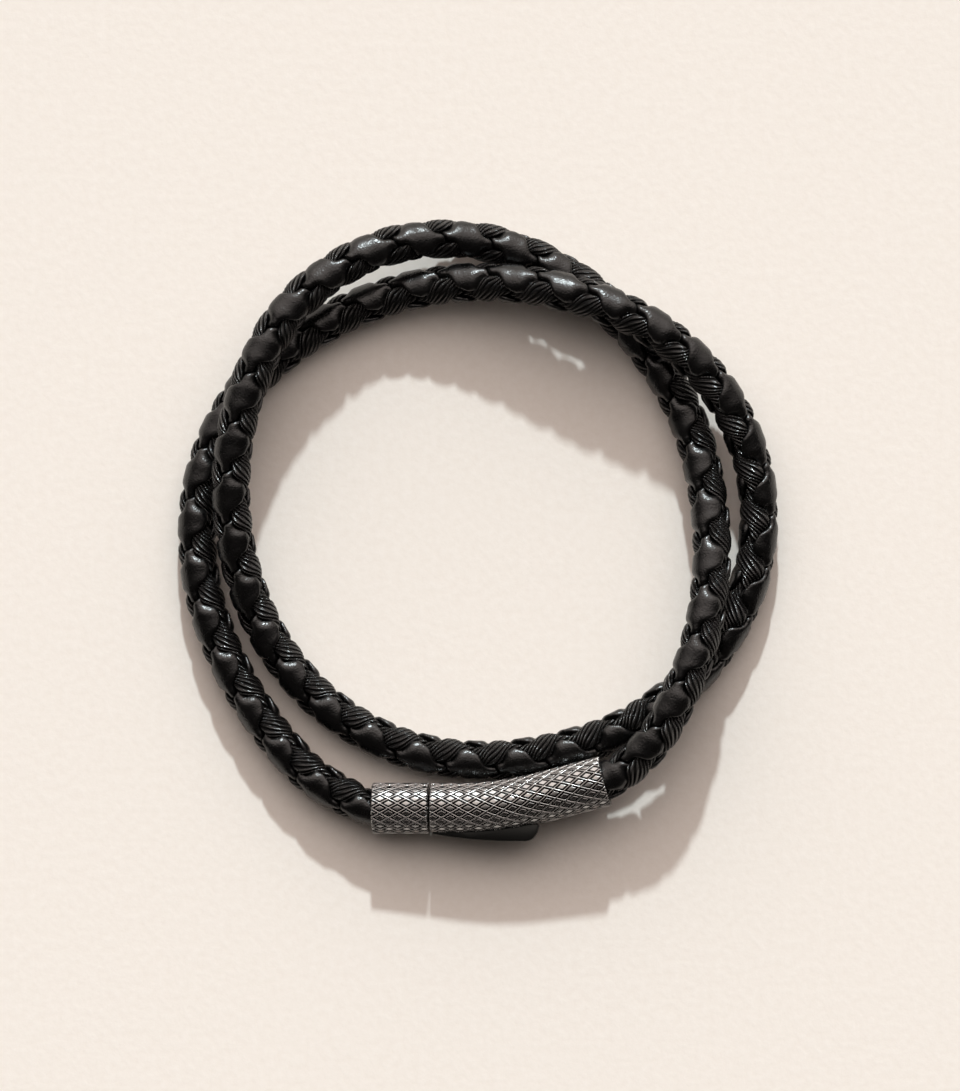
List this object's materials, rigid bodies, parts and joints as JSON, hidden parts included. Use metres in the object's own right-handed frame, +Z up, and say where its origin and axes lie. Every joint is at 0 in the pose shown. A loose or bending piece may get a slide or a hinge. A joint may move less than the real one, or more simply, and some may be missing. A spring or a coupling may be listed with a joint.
{
  "type": "leather wrap bracelet",
  "caption": "Double-wrap bracelet of a round braid of plain leather and ribbed textile strands, with a knurled metal clasp and a press lever.",
  "frame": {"origin": "middle of the bracelet's outline, on the table that it lies on", "axes": "+Z up from the table and through the wrist opening, +Y from the clasp across the opening to the far side of the loops, +X from the clasp's collar towards its barrel"},
  "size_m": [0.078, 0.0808, 0.0105],
  "materials": {
    "nappa_leather": "fine-grained black nappa with a soft sheen",
    "ribbed_textile": "matt black twisted cotton cords lying side by side",
    "gunmetal_steel": "gunmetal plating over a diamond knurl, polished",
    "satin_dark_steel": "satin dark grey"
  },
  "bodies": {
    "bracelet": {"leather_strand_1_first_turn": "nappa_leather", "leather_strand_1_second_turn": "nappa_leather", "leather_strand_2_first_turn": "nappa_leather", "leather_strand_2_second_turn": "nappa_leather", "ribbed_strand_1_first_turn": "ribbed_textile", "ribbed_strand_1_second_turn": "ribbed_textile", "ribbed_strand_2_first_turn": "ribbed_textile", "ribbed_strand_2_second_turn": "ribbed_textile", "clasp_collar": "gunmetal_steel", "clasp_barrel": "gunmetal_steel", "lever_pin": "satin_dark_steel"},
    "lever": {"clasp_lever": "satin_dark_steel"}
  },
  "joints": [
    {"name": "lever_press", "type": "hinge", "parent": "bracelet", "child": "lever", "pos_m": [-0.00185, -0.038, 0.00416], "axis": [-0.0732, 0, 0.9973], "range_deg": [0, 8], "stiffness_Nm_per_rad": 0.02}
  ]
}
